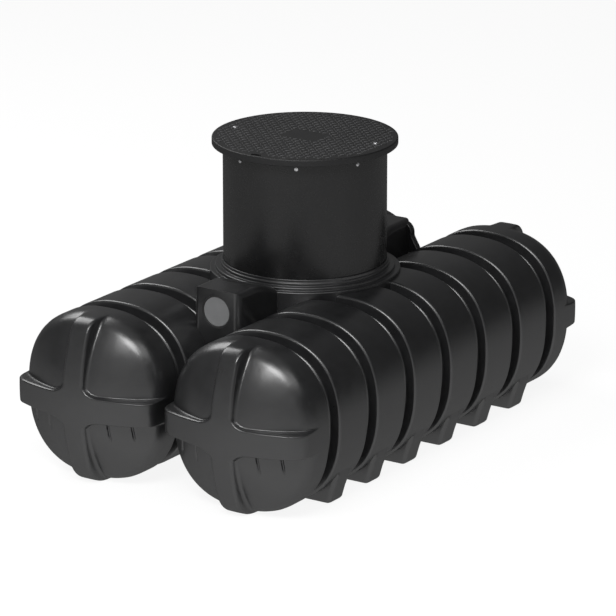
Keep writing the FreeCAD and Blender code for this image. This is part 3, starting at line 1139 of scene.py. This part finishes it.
def modelCover():
    underside = cover["plateTop"] - cover["plate"]
    outline = [
        (0.0, cover["plateTop"], 0),
        (0.0, underside, 0),
        (cover["rimInner"], underside, 0),
        (cover["rimInner"], shaft["top"], 0),
        (cover["radius"], shaft["top"], cover["underRound"]),
        (cover["radius"], cover["plateTop"], cover["edgeRound"]),
    ]
    points = [aboutZ(*point) for point in roundCorners(outline, cover["roundSteps"])]
    points = points[1:] + points[:1]
    piece = spinPiece("coverPlate", points, (0, 0, 0), (0, 0, 1), cover["turns"], closed=False)
    half = Vector(cover["slotHalf"])
    spot = Vector((0, -cover["slotPlace"], cover["plateTop"]))
    pocket = addBlock("liftPocket", spot - half, spot + half)
    bevelEdges(
        pocket, lambda edge: runsAlong(edge, 2), half.y * cover["slotRoundShare"],
        steps=cover["roundSteps"])
    boolean(piece, "DIFFERENCE", pocket)
    tidyMesh(piece)
    smoothShade(piece)
    finishPiece(piece, coverBlack, "cover_plate", "cover")


def boltSpots():
    turn = math.radians(cover["boltTurn"])
    spot = Vector((math.cos(turn), math.sin(turn), 0)) * cover["boltPlace"]
    return spot, -spot


def keepsTread(spot):
    # the tread stops at the rim and leaves the middle panel, the bolts and the slot free
    if spot.length > cover["treadReach"] - cover["treadLength"] / 2:
        return False
    if abs(spot.x) < cover["panelHalf"][0] and abs(spot.y) < cover["panelHalf"][1]:
        return False
    if min((spot - bolt).length for bolt in boltSpots()) < cover["boltWasher"] + cover["boltMargin"]:
        return False
    fromSlot = (spot - Vector((0, -cover["slotPlace"], 0))).length
    return fromSlot > cover["slotHalf"][0] + cover["slotMargin"]


def modelTread():
    # one raised lozenge, laid out in two arrays and turned the other way on every second place
    count = int(cover["treadReach"] * 2 / cover["treadPitch"]) + 1
    first = -(count - 1) / 2 * cover["treadPitch"]
    stud = addRod(
        "coverTread", cover["treadLength"] / 2, cover["treadRise"] * 2, (0, 0, cover["plateTop"]),
        sides=cover["treadSides"])
    startEdit(stud)
    slim = cover["treadWidth"] / cover["treadLength"]
    bpy.ops.transform.resize(value=(1, slim, 1), center_override=(0, 0, 0))
    pick(stud, "FACE", lambda face: face.normal.z > 0.9)
    bpy.ops.transform.resize(value=(*cover["treadTop"], 1), center_override=(0, 0, cover["plateTop"]))
    endEdit()
    stud.data.transform(Matrix.Translation((first, first, 0)))
    facesEach, vertsEach = len(stud.data.polygons), len(stud.data.vertices)
    for way in (Vector((1, 0, 0)), Vector((0, 1, 0))):
        rows = stud.modifiers.new("rows", "ARRAY")
        rows.count = count
        rows.use_relative_offset = False
        rows.use_constant_offset = True
        rows.constant_offset_displace = way * cover["treadPitch"]
        bpy.context.view_layer.objects.active = stud
        bpy.ops.object.modifier_apply(modifier=rows.name)
    spots = []
    for index in range(count * count):
        column, row = index % count, index // count
        spot = Vector((first + column * cover["treadPitch"], first + row * cover["treadPitch"], 0))
        spots.append(spot)
        angle = cover["treadTurn"] if (column + row) % 2 else -cover["treadTurn"]
        turn = Matrix.Rotation(math.radians(angle), 3, "Z")
        for vert in stud.data.vertices[index * vertsEach:(index + 1) * vertsEach]:
            vert.co = turn @ (vert.co - spot) + spot
    startEdit(stud)
    pick(stud, "FACE", lambda face: not keepsTread(spots[face.index // facesEach]))
    bpy.ops.mesh.delete(type="FACE")
    endEdit()
    smoothShade(stud, cover["treadAngle"])
    # the studs take the lighter finish, painted light against the darker plate, which stands as painted
    # shade between them
    finishPiece(stud, treadPaintedLight, "cover_plate")


def addBolts():
    model = modelScrew("boltModel", cover["boltRadius"], cover["boltRise"], cover["boltWasher"])
    for number, spot in enumerate(boltSpots()):
        move = Matrix.Translation(spot + Vector((0, 0, cover["plateTop"])))
        finishPiece(copyPiece(model, f"coverBolt{number + 1}", move), screwSteel, "screw_steel")
    drop(model)


modelShaft()
addScrews()
modelCover()
modelTread()
addBolts()
nodes["cover_seat"].data.materials.clear()
nodes["cover_seat"].data.materials.append(shaftBlack)
print("shaft and cover modelled")


# Studio: pale floor, soft lamps, white backdrop

studio = {
    "azimuth": 33.24,
    "elevation": 17.39,
    "distance": 16.0907,
    "target": (0.0131, 0, 0.4628),
    "focalPixels": 4372.3,
    "imagePixels": 616,
    "sensor": 36,
    "clipEnd": 200,
    "lampTarget": (0, 0, 0.4),
    "lampDistance": 7,
    "floorHalf": 30,
    "floorColour": (0.9, 0.9, 0.9, 1),
    "floorRough": 0.9,
    "floorGloss": 0.1,
    "floorGlow": 0.85,
    "glowLevel": 1.05,
    "groundTurn": 34,
    "groundSpan": (-0.937, 0.594),
    "groundLevels": (0.08, 1.03),
    "hazeTurn": 8,
    "hazePower": 3,
    "hazeLevel": 0.60,
    "skyTurn": 90,
    "skySpan": (-0.6, 0.6),
    "skyLevels": (0.14, 0.06),
    "horizonHeights": (-0.30, 0.05),
    "ceilingHeights": (0.80, 0.97),
    "ceilingLevel": 0.2,
}
lamps = {
    "keySoftbox": {"azimuth": 14, "elevation": 45.5, "width": 3.3, "height": 2.2, "power": 330},
    "leftSoftbox": {"azimuth": -104, "elevation": 46, "width": 3.8, "height": 3.1, "power": 205},
    "rightSoftbox": {"azimuth": 60, "elevation": 49, "width": 4.6, "height": 3.4, "power": 100},
}


def direction(azimuth, elevation):
    turn, rise = math.radians(azimuth), math.radians(elevation)
    return Vector((math.sin(turn) * math.cos(rise), -math.cos(turn) * math.cos(rise), math.sin(rise)))


def placeCamera():
    lens = bpy.data.cameras.new("photoCamera")
    lens.sensor_width = studio["sensor"]
    lens.lens = studio["focalPixels"] / studio["imagePixels"] * studio["sensor"]
    lens.clip_end = studio["clipEnd"]
    camera = bpy.data.objects.new("photoCamera", lens)
    back = direction(studio["azimuth"], studio["elevation"])
    camera.location = Vector(studio["target"]) + back * studio["distance"]
    camera.rotation_mode = "QUATERNION"
    camera.rotation_quaternion = (-back).to_track_quat("-Z", "Y")
    bpy.context.scene.collection.objects.link(camera)
    bpy.context.scene.camera = camera


def placeLamp(name, azimuth, elevation, width, height, power):
    lamp = bpy.data.lights.new(name, "AREA")
    lamp.shape = "RECTANGLE"
    lamp.size = width
    lamp.size_y = height
    lamp.energy = power
    holder = bpy.data.objects.new(name, lamp)
    back = direction(azimuth, elevation)
    holder.location = Vector(studio["lampTarget"]) + back * studio["lampDistance"]
    holder.rotation_mode = "QUATERNION"
    holder.rotation_quaternion = (-back).to_track_quat("-Z", "Y")
    bpy.context.scene.collection.objects.link(holder)


def paintWorld():
    # the room by direction: pale ground brightest in front, haze over the horizon, a soft ceiling
    world = bpy.data.worlds.new("studioSky")
    bpy.context.scene.world = world
    world.use_nodes = True
    tree = world.node_tree
    background = tree.nodes["Background"]
    way = Wire(tree, None).node("ShaderNodeTexCoord", {}, {}, 0)

    def towards(turn):
        return way.node(
            "ShaderNodeVectorMath", {"operation": "DOT_PRODUCT"}, {0: way, 1: direction(turn, 0)}, 1)

    height = way.node("ShaderNodeSeparateXYZ", {}, {0: way}, 2)
    ground = towards(studio["groundTurn"]).between(*studio["groundSpan"], *studio["groundLevels"])
    sky = towards(studio["skyTurn"]).between(*studio["skySpan"], *studio["skyLevels"])
    ahead = towards(studio["hazeTurn"]).between(0, 1, 0, 1)
    haze = way.maths("POWER", ahead, studio["hazePower"]) * studio["hazeLevel"] + sky
    below = height.between(*studio["horizonHeights"], 1, 0)
    ceiling = height.between(*studio["ceilingHeights"], 0, studio["ceilingLevel"])
    room = ground * below + haze * (1 - below) + ceiling
    seen = way.node("ShaderNodeLightPath", {}, {}, "Is Camera Ray")
    tree.links.new((seen + room * (1 - seen)).socket, background.inputs["Strength"])
    background.inputs["Color"].default_value = (1, 1, 1, 1)


def layFloor():
    # white to the camera, shadowed by the object, and open to reflections, which show the room
    bpy.ops.object.select_all(action="DESELECT")
    bpy.ops.mesh.primitive_plane_add(size=studio["floorHalf"] * 2, location=(0, 0, 0))
    floor = newPiece("studioFloor")
    material, shader, place = newFinish("paleFloor")
    tree = material.node_tree
    shader.inputs["Base Color"].default_value = studio["floorColour"]
    shader.inputs["Roughness"].default_value = studio["floorRough"]
    shader.inputs["Specular IOR Level"].default_value = studio["floorGloss"]

    def ray(kind):
        return place.node("ShaderNodeLightPath", {}, {}, f"Is {kind} Ray")

    glow = place.node("ShaderNodeEmission", {}, {"Strength": studio["glowLevel"]})
    surface = place.node(
        "ShaderNodeMixShader", {},
        {0: ray("Camera") * studio["floorGlow"], 1: Wire(tree, shader.outputs[0]), 2: glow})
    opening = place.node("ShaderNodeBsdfTransparent")
    mix = place.node(
        "ShaderNodeMixShader", {}, {0: ray("Glossy") + ray("Transmission"), 1: surface, 2: opening})
    tree.links.new(mix.socket, tree.nodes["Material Output"].inputs["Surface"])
    floor.data.materials.append(material)


placeCamera()
paintWorld()
layFloor()
for name, lamp in lamps.items():
    placeLamp(name, **lamp)
bpy.context.scene.view_settings.view_transform = "Standard"
print("studio set")
